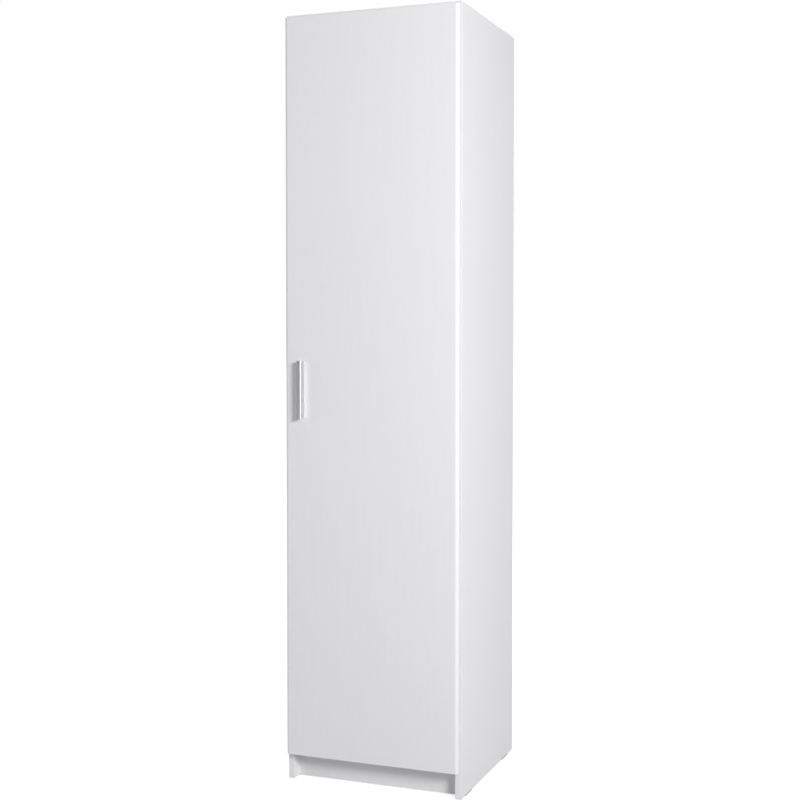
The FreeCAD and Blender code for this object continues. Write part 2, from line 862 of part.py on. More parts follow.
def all_pieces():
    """Every node of the cupboard: its name and its solid or group of like solids."""
    return {
        "side_panel_left": [side_panel(-1)],
        "side_panel_right": [side_panel(1)],
        "top_panel": [top_panel()],
        "bottom_panel": [board(bottom_panel_underside, carcass_front)],
        "upper_shelf": [board(shelf_underside_height, shelf_front)],
        "plinth": [plinth()],
        "back_panel_lower": [back_panel_lower()],
        "back_panel_upper": [back_panel_upper()],
        "back_joint_strip": [back_joint_strip()],
        "back_nails": back_nails(),
        "cam_locks": cam_locks(),
        "cam_bolts": cam_bolts(),
        "cam_caps": cam_caps(),
        "dowels": dowels(),
        "glides": glides(),
        "glide_nails": glide_nails(),
        "wall_bracket": [wall_bracket()],
        "wall_bracket_screws": wall_bracket_screws(),
        "door_bumpers": door_bumpers(),
        "hinge_plates": hinge_plates(),
        "hinge_plate_screws": hinge_plate_screws(),
        "hinge_arms": hinge_arms(),
        "hinge_arm_screws": hinge_arm_screws(),
        "hinge_arm_pins": hinge_arm_pins(),
        "hinge_outer_levers": hinge_outer_levers(),
        "hinge_inner_levers": hinge_inner_levers(),
        "door_panel": [door_panel()],
        "hinge_cups": hinge_cups(),
        "hinge_cup_pins": hinge_cup_pins(),
        "hinge_cup_screws": hinge_cup_screws(),
        "handle": [handle()],
        "handle_screws": handle_screws(),
    }


def write_pieces():
    """Write one STEP file per node, and say what each one holds."""
    os.makedirs("parts", exist_ok=True)
    for name, solids in all_pieces().items():
        shape = solids[0] if len(solids) == 1 else Part.makeCompound(solids)
        count = len(shape.Solids)
        print(name, "solids", count, "volume", round(shape.Volume, 1), "valid", shape.isValid())
        if count != len(solids):
            raise ValueError(name + " holds " + str(count) + " solids, not " + str(len(solids)))
        shape.exportStep(os.path.join("parts", name + ".step"))


write_pieces()
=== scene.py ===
"""Broom cupboard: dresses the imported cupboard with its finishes, soft edges and a studio."""

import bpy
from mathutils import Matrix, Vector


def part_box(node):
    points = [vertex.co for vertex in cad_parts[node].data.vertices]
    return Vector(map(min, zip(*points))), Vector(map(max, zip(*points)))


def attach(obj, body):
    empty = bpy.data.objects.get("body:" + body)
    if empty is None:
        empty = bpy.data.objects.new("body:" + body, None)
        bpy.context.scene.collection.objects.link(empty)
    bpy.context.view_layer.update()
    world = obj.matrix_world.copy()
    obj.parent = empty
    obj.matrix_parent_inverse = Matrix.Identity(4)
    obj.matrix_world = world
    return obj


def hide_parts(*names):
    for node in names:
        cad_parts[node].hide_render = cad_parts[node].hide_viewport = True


bl_info = {
    "name": "Broom Cupboard Finisher",
    "version": (1, 0, 0),
    "blender": (4, 5, 0),
    "location": "View3D > Sidebar > Cupboard",
    "description": "Finishes the boards, door, handle and fittings of a broom cupboard",
    "category": "Object",
}

import math

import bmesh
import bpy
from bpy.props import FloatProperty, FloatVectorProperty, IntProperty, PointerProperty
from mathutils import Matrix, Vector

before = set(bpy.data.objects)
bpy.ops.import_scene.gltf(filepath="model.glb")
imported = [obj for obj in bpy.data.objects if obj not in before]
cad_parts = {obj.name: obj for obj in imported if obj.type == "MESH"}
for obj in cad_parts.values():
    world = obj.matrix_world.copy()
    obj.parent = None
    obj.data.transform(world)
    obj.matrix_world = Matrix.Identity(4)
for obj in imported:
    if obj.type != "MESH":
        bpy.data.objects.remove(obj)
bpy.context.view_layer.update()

X, Y, Z = range(3)

# The boards of the carcass, each with the axis that its grain follows.
GRAINS = {
    "side_panel_left": Z, "side_panel_right": Z, "top_panel": X,
    "bottom_panel": X, "upper_shelf": X, "plinth": X,
}


# ---------------------------------------------------------------- sizes and colours

def colour(name, description, value):
    return FloatVectorProperty(name=name, description=description, subtype="COLOR",
                               size=3, min=0.0, max=1.0, default=value)


def length(name, description, value):
    return FloatProperty(name=name, description=description, default=value, min=0.0,
                         unit="LENGTH", precision=5)


def power(name, description, value):
    return FloatProperty(name=name, description=description, default=value, min=0.0,
                         unit="POWER")


class CUPBOARD_PG_boards(bpy.types.PropertyGroup):
    """The carcass boards, the back and the door"""

    face: colour("Board face", "Colour of the melamine faces", (0.842, 0.841, 0.857))
    face_low: colour("Board face, low", "The darker end of the faces' slight variation",
                     (0.829, 0.828, 0.844))
    band: colour("Edge band", "Colour of the plastic edge bands", (0.848, 0.848, 0.858))
    chip_light: colour("Chip, light", "Pale chips in the raw board", (0.62, 0.47, 0.30))
    chip_dark: colour("Chip, dark", "Dark chips in the raw board", (0.27, 0.17, 0.09))
    fibre: colour("Hardboard", "Brown rear face of the hardboard back", (0.33, 0.20, 0.11))
    fibre_dark: colour("Hardboard, dark", "Dark fibres of the hardboard", (0.17, 0.095, 0.05))
    lacquer: colour("Lacquered back", "White inner face of the back", (0.82, 0.82, 0.815))
    edge_softness: length("Edge softness", "Radius of the banded edges", 0.0006)
    pearl_size: length("Pearl size", "Size of the fine bumps on the faces", 0.0011)
    pore_length: length("Pore length", "Length of the faint pores along the board", 0.028)


class CUPBOARD_PG_handle(bpy.types.PropertyGroup):
    """The bar handle"""

    metal: colour("Handle", "Colour of the satin metal", (0.66, 0.66, 0.68))
    edge_radius: length("Edge radius", "Radius of the two long front edges", 0.0034)
    end_undercut: length("End undercut", "How far each end slopes in towards the door", 0.003)
    end_softness: length("End softness", "Radius of the edges round both ends", 0.0005)
    round_steps: IntProperty(name="Round steps", description="Faces across each rounded edge",
                             default=10, min=1, max=32)


class CUPBOARD_PG_fittings(bpy.types.PropertyGroup):
    """The hinges, the joint fittings and the other small parts"""

    nickel: colour("Nickel", "Nickel plated hinges", (0.66, 0.64, 0.60))
    zinc: colour("Zinc plate", "Zinc plated screws and bracket", (0.60, 0.62, 0.65))
    casting: colour("Zinc casting", "Bare cast cams", (0.47, 0.47, 0.48))
    steel: colour("Steel", "Nails and pins", (0.56, 0.56, 0.56))
    white_plastic: colour("White plastic", "Caps and the back's joint strip", (0.84, 0.84, 0.83))
    grey_plastic: colour("Grey plastic", "Glides", (0.035, 0.035, 0.037))
    bumper: colour("Bumper", "Clear soft bumpers", (0.86, 0.87, 0.86))
    beech: colour("Beech", "Dowels", (0.66, 0.47, 0.29))
    beech_dark: colour("Beech, dark", "Flecks in the dowels", (0.42, 0.26, 0.14))
    edge_softness: length("Edge softness", "Radius that takes the sharpness off metal edges",
                          0.0002)


class CUPBOARD_PG_studio(bpy.types.PropertyGroup):
    """The lamps, the floor and the lens"""

    key_power: power("Key power", "Main lamp, front right", 91.0)
    key_size: length("Key size", "Width of the main lamp", 0.9)
    top_power: power("Top power", "Wide lamp above the front", 22.0)
    left_power: power("Left power", "Wide lamp on the left", 34.0)
    rear_power: power("Rear power", "Wide lamp behind, on the left", 60.0)
    wide_size: length("Wide size", "Width of the wide lamps", 2.4)
    room_light: FloatProperty(name="Room light", description="Even light from all sides",
                              default=0.16, min=0.0)
    floor: colour("Floor", "Colour of the floor", (0.6, 0.6, 0.6))
    # Grey of the card that only reflections show: a painted dark reflection in the handle and other
    # metal.
    card: colour("Card", "Colour of the grey card", (0.6, 0.6, 0.6))
    lens: FloatProperty(name="Lens", description="Focal length for the sensor width in use",
                        default=56.051, min=1.0, unit="CAMERA")


SETTINGS = {
    "cupboard_boards": CUPBOARD_PG_boards,
    "cupboard_handle": CUPBOARD_PG_handle,
    "cupboard_fittings": CUPBOARD_PG_fittings,
    "cupboard_studio": CUPBOARD_PG_studio,
}


# ---------------------------------------------------------------- shading

# The sockets that a Mix node uses for colours; it keeps others for numbers and vectors.
MIX_FACTOR, MIX_FIRST, MIX_SECOND = 0, 6, 7
MIX_OUTCOME = 2

NOISE_SPREAD = (0.3, 0.7)            # where most values of a noise lie
SOFTEN_SAMPLES = 6                   # rays that look for the edges to soften
WHITE = (1.0, 1.0, 1.0, 1.0)

# Roughness of each metal, from its brightest spots to its dullest.
NICKEL_ROUGHNESS = (0.2, 0.32)
PIN_ROUGHNESS = (0.2, 0.3)
ZINC_ROUGHNESS = (0.3, 0.42)
NAIL_ROUGHNESS = (0.28, 0.42)
BRACKET_ROUGHNESS = (0.32, 0.46)
CASTING_ROUGHNESS = (0.45, 0.6)


class Finish:
    """A material and the few node moves that all the finishes share."""

    def __init__(self, name, base, roughness, metallic=0.0):
        self.material = bpy.data.materials.new(name)
        self.material.use_nodes = True
        self.material.diffuse_color = (*base, 1.0)
        self.nodes = self.material.node_tree.nodes
        self.links = self.material.node_tree.links
        self.shader = self.nodes["Principled BSDF"]
        self.shader.inputs["Base Color"].default_value = (*base, 1.0)
        self.shader.inputs["Metallic"].default_value = metallic
        self.shader.inputs["Roughness"].default_value = roughness
        self.place = self.nodes.new("ShaderNodeTexCoord").outputs["Object"]
        self.normal = None

    def stretched(self, scale, turn=(0.0, 0.0, 0.0)):
        """Object coordinates with each axis multiplied, for patterns that run one way."""
        node = self.nodes.new("ShaderNodeMapping")
        node.inputs["Scale"].default_value = scale
        node.inputs["Rotation"].default_value = turn
        self.links.new(self.place, node.inputs["Vector"])
        return node.outputs["Vector"]

    def noise(self, scale=1.0, detail=2.0, roughness=0.5, place=None):
        """A cloudy pattern, with about as many patches in a metre as its scale."""
        node = self.nodes.new("ShaderNodeTexNoise")
        node.inputs["Scale"].default_value = scale
        node.inputs["Detail"].default_value = detail
        node.inputs["Roughness"].default_value = roughness
        self.links.new(place or self.place, node.inputs["Vector"])
        return node.outputs["Fac"]

    def cells(self, place):
        """A pattern of cells, with a colour for each and the distance from its middle."""
        node = self.nodes.new("ShaderNodeTexVoronoi")
        node.inputs["Scale"].default_value = 1.0
        self.links.new(place, node.inputs["Vector"])
        return node

    def between(self, value, spread=NOISE_SPREAD, to=(0.0, 1.0)):
        """The value's spread taken to another range, and cut off at both ends."""
        node = self.nodes.new("ShaderNodeMapRange")
        for end, limit in zip(("From Min", "From Max", "To Min", "To Max"), (*spread, *to)):
            node.inputs[end].default_value = limit
        self.links.new(value, node.inputs["Value"])
        return node.outputs["Result"]

    def blend_colours(self, factor, first, second):
        """A mix of two colours, each a colour or the outcome of an earlier mix."""
        node = self.nodes.new("ShaderNodeMix")
        node.data_type = "RGBA"
        self.links.new(factor, node.inputs[MIX_FACTOR])
        for socket, value in ((node.inputs[MIX_FIRST], first), (node.inputs[MIX_SECOND], second)):
            if isinstance(value, bpy.types.NodeSocket):
                self.links.new(value, socket)
            else:
                socket.default_value = (*value, 1.0)
        return node.outputs[MIX_OUTCOME]

    def paint(self, value):
        """Takes the colour from a pattern."""
        self.links.new(value, self.shader.inputs["Base Color"])

    def gloss(self, value):
        """Takes the roughness from a pattern."""
        self.links.new(value, self.shader.inputs["Roughness"])

    def soften(self, radius):
        """Makes sharp edges look round."""
        node = self.nodes.new("ShaderNodeBevel")
        node.samples = SOFTEN_SAMPLES
        node.inputs["Radius"].default_value = radius
        self.normal = node.outputs["Normal"]
        self.links.new(self.normal, self.shader.inputs["Normal"])

    def raise_by(self, pattern, distance, strength):
        """Adds a bump on top of those already there."""
        node = self.nodes.new("ShaderNodeBump")
        node.inputs["Strength"].default_value = strength
        node.inputs["Distance"].default_value = distance
        self.links.new(pattern, node.inputs["Height"])
        if self.normal is not None:
            self.links.new(self.normal, node.inputs["Normal"])
        self.normal = node.outputs["Normal"]
        self.links.new(self.normal, self.shader.inputs["Normal"])


def dimmed(tone, share):
    """A colour with each of its parts multiplied by the share."""
    return [share * part for part in tone]


def grain_scale(grain, along, across):
    """The scale on each axis of a pattern that is stretched along the grain."""
    return tuple(along if axis == grain else across for axis in (X, Y, Z))


def melamine(name, settings, grain):
    """Printed and pressed melamine face: fine pearl, faint pores along the grain."""
    pore_width, cloud_size = 0.0009, 0.4
    pores_in_streak_length, pores_in_streak_width = 4, 7
    along, across = 1.0 / settings.pore_length, 1.0 / pore_width
    made = Finish(name, settings.face, roughness=0.6)
    pores = made.noise(place=made.stretched(grain_scale(grain, along, across)))
    streaks = made.noise(place=made.stretched(grain_scale(
        grain, along / pores_in_streak_length, across / pores_in_streak_width)))
    clouds = made.noise(scale=1.0 / cloud_size, detail=1.0)
    shade = made.blend_colours(made.between(streaks), settings.face_low, settings.face)
    shade = made.blend_colours(made.between(clouds, spread=(0.35, 0.65), to=(0.0, 0.5)),
                               shade, settings.face)
    made.paint(shade)
    made.gloss(made.between(pores, to=(0.56, 0.66)))
    made.raise_by(made.noise(scale=1.0 / settings.pearl_size), distance=0.00003, strength=0.6)
    made.raise_by(pores, distance=0.00003, strength=0.5)
    return made.material


def edge_band(settings):
    """Plastic edge band: smoother than the faces, with a fine texture."""
    patch_size = 0.15
    made = Finish("edge_band", settings.band, roughness=0.38)
    texture = made.noise(scale=900.0, detail=1.0)
    made.gloss(made.between(texture, to=(0.33, 0.42)))
    patches = made.noise(scale=1.0 / patch_size, detail=1.0)
    made.paint(made.blend_colours(made.between(patches), settings.face, settings.band))
    made.raise_by(texture, distance=0.00002, strength=0.4)
    return made.material


def raw_chipboard(settings):
    """Sawn chipboard: pale and dark chips with open pores between them."""
    made = Finish("raw_chipboard", settings.chip_light, roughness=0.85)
    chips = made.cells(made.stretched((420.0, 420.0, 700.0)))
    fine = made.noise(scale=1500.0, detail=3.0)
    tone = made.blend_colours(made.between(chips.outputs["Color"], spread=(0.15, 0.9)),
                              settings.chip_dark, settings.chip_light)
    tone = made.blend_colours(made.between(fine, spread=(0.35, 0.7), to=(0.0, 0.6)),
                              tone, settings.chip_light)
    made.paint(tone)
    made.raise_by(chips.outputs["Distance"], distance=0.0004, strength=0.6)
    made.raise_by(fine, distance=0.0002, strength=0.6)
    return made.material


def bare_hardboard(settings):
    """Brown hardboard: pressed fibres that cross, a little darker in clouds."""
    along, across = 420.0, 900.0     # patches in a metre, along the fibres and across them
    made = Finish("bare_hardboard", settings.fibre, roughness=0.7)
    fibres = made.noise(detail=4.0, roughness=0.7,
                        place=made.stretched((along, along, across), turn=(0.0, 0.5, 0.0)))
    crossed = made.noise(detail=4.0, roughness=0.7,
                         place=made.stretched((across, along, along), turn=(0.0, 0.4, 0.0)))
    clouds = made.noise(scale=6.0)
    tone = made.blend_colours(made.between(fibres, spread=(0.42, 0.75)),
                              settings.fibre, settings.fibre_dark)
    tone = made.blend_colours(made.between(crossed, spread=(0.55, 0.8), to=(0.0, 0.5)),
                              tone, settings.chip_light)
    tone = made.blend_colours(made.between(clouds, spread=(0.4, 0.8), to=(0.0, 0.35)),
                              tone, settings.fibre_dark)
    made.paint(tone)
    made.gloss(made.between(fibres, spread=(0.3, 0.8), to=(0.58, 0.8)))
    made.raise_by(fibres, distance=0.00012, strength=0.5)
    return made.material


def white_lacquer(settings):
    """Lacquered hardboard: faint clouds and a slight orange peel."""
    made = Finish("white_lacquer", settings.lacquer, roughness=0.4)
    peel = made.noise(scale=500.0)
    made.paint(made.blend_colours(made.between(made.noise(scale=8.0)),
                                  settings.lacquer, settings.face_low))
    made.gloss(made.between(peel, to=(0.34, 0.46)))
    made.raise_by(peel, distance=0.00008, strength=0.5)
    return made.material


def satin_metal(settings):
    """Satin metal drawn along the handle, with the fine lines of the brush."""
    made = Finish("satin_metal", settings.metal, roughness=0.3, metallic=1.0)
    lines = made.noise(detail=3.0, roughness=0.6, place=made.stretched((5200.0, 5200.0, 32.0)))
    made.gloss(made.between(lines, to=(0.24, 0.36)))
    made.paint(made.blend_colours(made.between(lines, spread=(0.25, 0.75)),
                                  dimmed(settings.metal, 0.94), settings.metal))
    made.raise_by(lines, distance=0.00001, strength=0.35)
    return made.material


def plated(name, base, softness, roughness, pit_scale=900.0, pit_depth=0.00003):
    """Plated or bare metal with clouded gloss, small pits and softened edges."""
    made = Finish(name, base, sum(roughness) / 2, metallic=1.0)
    made.soften(softness)
    clouds = made.noise(scale=140.0, detail=3.0)
    pits = made.noise(pit_scale, detail=3.0)
    made.gloss(made.between(clouds, to=roughness))
    made.paint(made.blend_colours(made.between(clouds, spread=(0.25, 0.75)),
                                  dimmed(base, 0.88), base))
    made.raise_by(pits, distance=pit_depth, strength=0.5)
    return made.material


def moulded(name, base, softness, roughness=0.45, texture_scale=2200.0):
    """Moulded plastic with the fine texture of its mould."""
    unevenness = 0.06
    made = Finish(name, base, roughness)
    made.soften(softness)
    sparks = made.noise(texture_scale)
    made.gloss(made.between(sparks, to=(roughness - unevenness, roughness + unevenness)))
    made.paint(made.blend_colours(made.between(made.noise(scale=60.0)), dimmed(base, 0.94), base))
    made.raise_by(sparks, distance=0.00003, strength=0.6)
    return made.material


def clear_bumper(settings):
    """Soft clear plastic, a little cloudy."""
    made = Finish("clear_bumper", settings.bumper, roughness=0.3)
    made.shader.inputs["Transmission Weight"].default_value = 0.7
    made.shader.inputs["IOR"].default_value = 1.46
    made.soften(settings.edge_softness * 2)
    made.gloss(made.between(made.noise(scale=900.0), to=(0.25, 0.4)))
    return made.material


def beech(settings):
    """Beech with short dark flecks along the dowel."""
    made = Finish("beech", settings.beech, roughness=0.6)
    flecks = made.noise(detail=3.0, roughness=0.6, place=made.stretched((160.0, 2200.0, 2200.0)))
    made.paint(made.blend_colours(made.between(flecks, spread=(0.55, 0.75)),
                                  settings.beech, settings.beech_dark))
    made.raise_by(flecks, distance=0.00008, strength=0.5)
    return made.material


def seen_directly(nodes, links):
    """1 for rays that see the studio straight, in metal or through clear plastic, else 0."""
    rays = nodes.new("ShaderNodeLightPath")
    seen = rays.outputs["Is Camera Ray"]
    for kind in ("Is Glossy Ray", "Is Transmission Ray"):
        either = nodes.new("ShaderNodeMath")
        either.operation = "MAXIMUM"
        links.new(seen, either.inputs[0])
        links.new(rays.outputs[kind], either.inputs[1])
        seen = either.outputs[0]
    return seen


def glowing_floor(settings):
    """Matt grey that takes shadows, and glows where it is seen until it looks white."""
    near, far = 0.6, 3.0
    least, most = 0.7, 1.0
    made = Finish("studio_floor", settings.floor, roughness=0.9)
    made.shader.inputs["Specular IOR Level"].default_value = 0.0
    glow = made.nodes.new("ShaderNodeEmission")
    glow.inputs["Color"].default_value = WHITE
    distance = made.nodes.new("ShaderNodeVectorMath")
    distance.operation = "LENGTH"
    made.links.new(made.place, distance.inputs[0])
    lift = made.between(distance.outputs["Value"], spread=(near, far), to=(least, most))
    strength = made.nodes.new("ShaderNodeMath")
    strength.operation = "MULTIPLY"
    made.links.new(seen_directly(made.nodes, made.links), strength.inputs[0])
    made.links.new(lift, strength.inputs[1])
    made.links.new(strength.outputs[0], glow.inputs["Strength"])
    both = made.nodes.new("ShaderNodeAddShader")
    made.links.new(made.shader.outputs[0], both.inputs[0])
    made.links.new(glow.outputs[0], both.inputs[1])
    made.links.new(both.outputs[0], made.nodes["Material Output"].inputs["Surface"])
    return made.material


# ---------------------------------------------------------------- modelling

# Lengths are in metres.
MERGE = 1e-6                         # corners nearer than this are one corner
NUDGE = 2e-5                         # how far off a plane a corner still counts as on it
FLAT_ANGLE = math.radians(0.5)       # faces that turn by less are one flat face
SMOOTH_ANGLE = math.radians(35.0)    # edges that turn by less are shaded as round
CORNER_ANGLE = math.radians(60.0)    # edges that turn by more are corners

BAND_STEPS = 3                       # faces across the soft edge of a board
RIM_STEPS = 2                        # faces across the soft edges at the handle's ends

# The walls of the door's bores are faces with few corners, and smaller than any of its
# rounded edges.
BORE_WALL_CORNERS = 4
BORE_WALL_AREA = 0.001

# The material slots of the boards and the door, and those of the back.
FACE, BAND, RAW = range(3)
LACQUERED, BARE = range(2)


def in_scene(name, data):
    """A new object with this data, linked to the scene."""
    made = bpy.data.objects.new(name, data)
    bpy.context.scene.collection.objects.link(made)
    return made


def object_from(name, bm, materials):
    """An object of the scene from a finished bmesh, at the origin."""
    mesh = bpy.data.meshes.new(name)
    bm.to_mesh(mesh)
    bm.free()
    for material in materials:
        mesh.materials.append(material)
    return in_scene(name, mesh)


def new_piece(name, bm, materials, body):
    """A piece of the cupboard, smooth up to a set angle, riding on its body."""
    piece = object_from(name, bm, materials)
    for polygon in piece.data.polygons:
        polygon.use_smooth = True
    piece.data.set_sharp_from_angle(angle=SMOOTH_ANGLE)
    flat = piece.modifiers.new("flat_faces_stay_flat", "WEIGHTED_NORMAL")
    flat.keep_sharp = True
    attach(piece, body)
    return piece


def solid_copy(node):
    """The node's solid with its doubles merged and its flat faces whole again."""
    bm = bmesh.new()
    bm.from_mesh(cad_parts[node].data)
    bmesh.ops.remove_doubles(bm, verts=bm.verts, dist=MERGE)
    bmesh.ops.dissolve_limit(bm, angle_limit=FLAT_ANGLE, verts=bm.verts, edges=bm.edges)
    return bm


def on_plane(part, axis, place):
    """Whether all corners of an edge or a face have this place on the axis."""
    return all(abs(corner.co[axis] - place) < NUDGE for corner in part.verts)


def outer_edges(bm, low, high):
    """Straight edges where two outer faces of a board meet."""
    planes = [(axis, place) for axis in (X, Y, Z) for place in (low[axis], high[axis])]
    return [edge for edge in bm.edges
            if sum(on_plane(edge, axis, place) for axis, place in planes) >= 2]


def is_corner(edge):
    """Whether the two faces at an edge make a clear corner."""
    return edge.is_manifold and edge.calc_face_angle() > CORNER_ANGLE


def round_edges(bm, edges, radius, steps):
    """Rounds edges to a radius, with this many faces across each."""
    bmesh.ops.bevel(bm, geom=edges, offset=radius, segments=steps, affect="EDGES",
                    profile=0.5, material=-1, clamp_overlap=True)


def has_band(node, face, low, high):
    """Whether a board's edge face is banded: all fronts, the sides' tops, the plinth's foot."""
    side_top = node.startswith("side") and on_plane(face, Z, high.z)
    plinth_foot = node == "plinth" and on_plane(face, Z, low.z)
    return on_plane(face, Y, low.y) or side_top or plinth_foot


def is_bore_wall(face, low, high):
    """Whether a face of the door is the wall of a bore."""
    middle = face.calc_center_median()
    return (all(low[axis] + NUDGE < middle[axis] < high[axis] - NUDGE for axis in (X, Y, Z))
            and len(face.verts) <= BORE_WALL_CORNERS and face.calc_area() < BORE_WALL_AREA)


def bar(settings, low, high):
    """The handle: a bar with rounded front edges, and ends that slope in towards the door."""
    size, middle = high - low, (low + high) / 2
    bm = bmesh.new()
    bmesh.ops.create_cube(bm, size=1.0)
    bmesh.ops.scale(bm, vec=size, verts=bm.verts)
    bmesh.ops.translate(bm, vec=middle, verts=bm.verts)
    rear = [corner for corner in bm.verts if corner.co.y > middle.y]
    rear_share = 1.0 - 2.0 * settings.end_undercut / size.z
    bmesh.ops.scale(bm, vec=(1.0, 1.0, rear_share), verts=rear,
                    space=Matrix.Translation(-middle))
    long_edges = [edge for edge in bm.edges
                  if all(corner.co.y < middle.y for corner in edge.verts)
                  and abs(edge.verts[0].co.z - edge.verts[1].co.z) > size.z / 2]
    round_edges(bm, long_edges, settings.edge_radius, settings.round_steps)
    rims = [edge for edge in bm.edges if is_corner(edge) and not on_plane(edge, Y, high.y)]
    round_edges(bm, rims, settings.end_softness, RIM_STEPS)
    return bm


def dress(material, *nodes):
    """Gives a finish to nodes that keep their own solids."""
    for node in nodes:
        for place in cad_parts[node].material_slots:
            place.material = material


# ---------------------------------------------------------------- studio

IMAGE_WIDTH = 800
SENSOR_WIDTH = 36.0

# Places and lengths are in metres, angles in degrees and the camera's shift in pixels.
KEY_PLACE = (2.53, -2.09, 1.78)
TOP_PLACE = (-0.4, -3.4, 4.8)
LEFT_PLACE = (-3.3, -1.1, 1.3)
REAR_PLACE = (-1.0, 2.5, 3.6)
WIDE_TARGET = (0.0, 0.0, 0.9)
FLOOR_RADIUS, FLOOR_STEPS = 40.0, 64
CARD_RADIUS, CARD_HEIGHT, CARD_STEPS = 3.6, 3.0, 24
CARD_START, CARD_SWEEP = -8.0, -120.0
CAMERA_PLACE = (1.2355, -2.8632, 1.0851)
CAMERA_TURN, CAMERA_DIP, CAMERA_ROLL = 18.8325, 1.8541, 0.1557
SHIFT_RIGHT, SHIFT_UP = -100.0, -24.0


def lay_floor(settings):
    """A wide round floor."""
    bm = bmesh.new()
    bmesh.ops.create_circle(bm, cap_ends=True, radius=FLOOR_RADIUS, segments=FLOOR_STEPS)
    floor = object_from("studio_floor", bm, (glowing_floor(settings),))


def light_room(settings):
    """Even light from all sides, and plain white where the room is seen."""
    world = bpy.data.worlds.new("studio_room")
    world.use_nodes = True
    bpy.context.scene.world = world
    nodes, links = world.node_tree.nodes, world.node_tree.links
    even = nodes["Background"]
    even.inputs["Color"].default_value = WHITE
    even.inputs["Strength"].default_value = settings.room_light
    plain = nodes.new("ShaderNodeBackground")
    plain.inputs["Color"].default_value = WHITE
    plain.inputs["Strength"].default_value = 1.0
    mix = nodes.new("ShaderNodeMixShader")
    links.new(seen_directly(nodes, links), mix.inputs[0])
    links.new(even.outputs[0], mix.inputs[1])
    links.new(plain.outputs[0], mix.inputs[2])
    links.new(mix.outputs[0], nodes["World Output"].inputs["Surface"])


def hang_lamp(name, place, target, watts, size, mirrored=True):
    """A square lamp that isn't seen itself, and shows in reflections only if mirrored."""
    data = bpy.data.lights.new(name, "AREA")
    data.shape = "SQUARE"
    data.size = size
    data.energy = watts
    lamp = in_scene(name, data)
    lamp.location = place
    lamp.rotation_mode = "QUATERNION"
    lamp.rotation_quaternion = (target - lamp.location).to_track_quat("-Z", "Y")
    lamp.visible_camera = False
    lamp.visible_glossy = mirrored


def bend_reflection_card(settings):
    """A grey card bent round the left, which only reflections show: a painted dark reflection in
    the metal, which lights and shades nothing.
    """
    bm = bmesh.new()
    foot = bm.verts.new((0.0, -CARD_RADIUS, 0.0))
    top = bm.verts.new((0.0, -CARD_RADIUS, CARD_HEIGHT))
    edge = bm.edges.new((foot, top))
    bmesh.ops.rotate(bm, verts=bm.verts, cent=(0.0, 0.0, 0.0),
                     matrix=Matrix.Rotation(math.radians(CARD_START), 3, "Z"))
    bmesh.ops.spin(bm, geom=[edge, foot, top], cent=(0.0, 0.0, 0.0), axis=(0.0, 0.0, 1.0),
                   angle=math.radians(CARD_SWEEP), steps=CARD_STEPS, use_merge=False)
    grey = Finish("studio_reflection_card", settings.card, roughness=0.9)
    card = object_from("studio_reflection_card", bm, (grey.material,))
    # Seen only in reflections, the card is a painted dark reflection; it neither lights nor shades
    # the cupboard.
    for rays in ("camera", "diffuse", "transmission", "shadow"):
        setattr(card, "visible_" + rays, False)


def place_camera(settings):
    """The camera, in front on the right and a little above the cupboard's middle."""
    data = bpy.data.cameras.new("studio_camera")
    data.sensor_width = SENSOR_WIDTH
    data.lens = settings.lens
    data.shift_x = SHIFT_RIGHT / IMAGE_WIDTH
    data.shift_y = SHIFT_UP / IMAGE_WIDTH
    camera = in_scene("studio_camera", data)
    aim = (Matrix.Rotation(math.radians(CAMERA_TURN), 4, "Z")
           @ Matrix.Rotation(math.radians(90.0 - CAMERA_DIP), 4, "X")
           @ Matrix.Rotation(math.radians(CAMERA_ROLL), 4, "Z"))
    camera.matrix_world = Matrix.Translation(CAMERA_PLACE) @ aim
    bpy.context.scene.camera = camera


# ---------------------------------------------------------------- operators

class CUPBOARD_OT_boards(bpy.types.Operator):
    """Sides, top, bottom, shelf and plinth with banded soft edges and raw rear edges"""

    bl_idname = "cupboard.boards"
    bl_label = "Boards"

    def execute(self, context):
        settings = context.scene.cupboard_boards
        faces = {grain: melamine("melamine_" + "xyz"[grain], settings, grain) for grain in (X, Z)}
        band = edge_band(settings)
        raw = raw_chipboard(settings)
        for node, grain in GRAINS.items():
            low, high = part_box(node)
            thin = min((X, Y, Z), key=lambda axis: high[axis] - low[axis])
            bm = solid_copy(node)
            for face in bm.faces:
                if on_plane(face, thin, low[thin]) or on_plane(face, thin, high[thin]):
                    face.material_index = FACE
                elif has_band(node, face, low, high):
                    face.material_index = BAND
                else:
                    face.material_index = RAW
            soft = [edge for edge in outer_edges(bm, low, high)
                    if not on_plane(edge, Y, high.y)
                    and all(face.material_index != RAW for face in edge.link_faces)]
            round_edges(bm, soft, settings.edge_softness, BAND_STEPS)
            piece = new_piece(node + "_faced", bm, (faces[grain], band, raw), "carcass")
            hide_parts(node)
        return {"FINISHED"}


class CUPBOARD_OT_back(bpy.types.Operator):
    """Hardboard back, white inside and brown outside, with its joint strip and nails"""

    bl_idname = "cupboard.back"
    bl_label = "Back"

    def execute(self, context):
        settings = context.scene.cupboard_boards
        fittings = context.scene.cupboard_fittings
        soft = fittings.edge_softness
        faces = (white_lacquer(settings), bare_hardboard(settings))
        for node in ("back_panel_lower", "back_panel_upper"):
            low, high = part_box(node)
            bm = solid_copy(node)
            for face in bm.faces:
                face.material_index = LACQUERED if on_plane(face, Y, low.y) else BARE
            piece = new_piece(node + "_faced", bm, faces, "carcass")
            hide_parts(node)
        dress(moulded("strip_plastic", fittings.white_plastic, soft), "back_joint_strip")
        dress(plated("nail_steel", fittings.steel, soft, NAIL_ROUGHNESS), "back_nails")
        return {"FINISHED"}


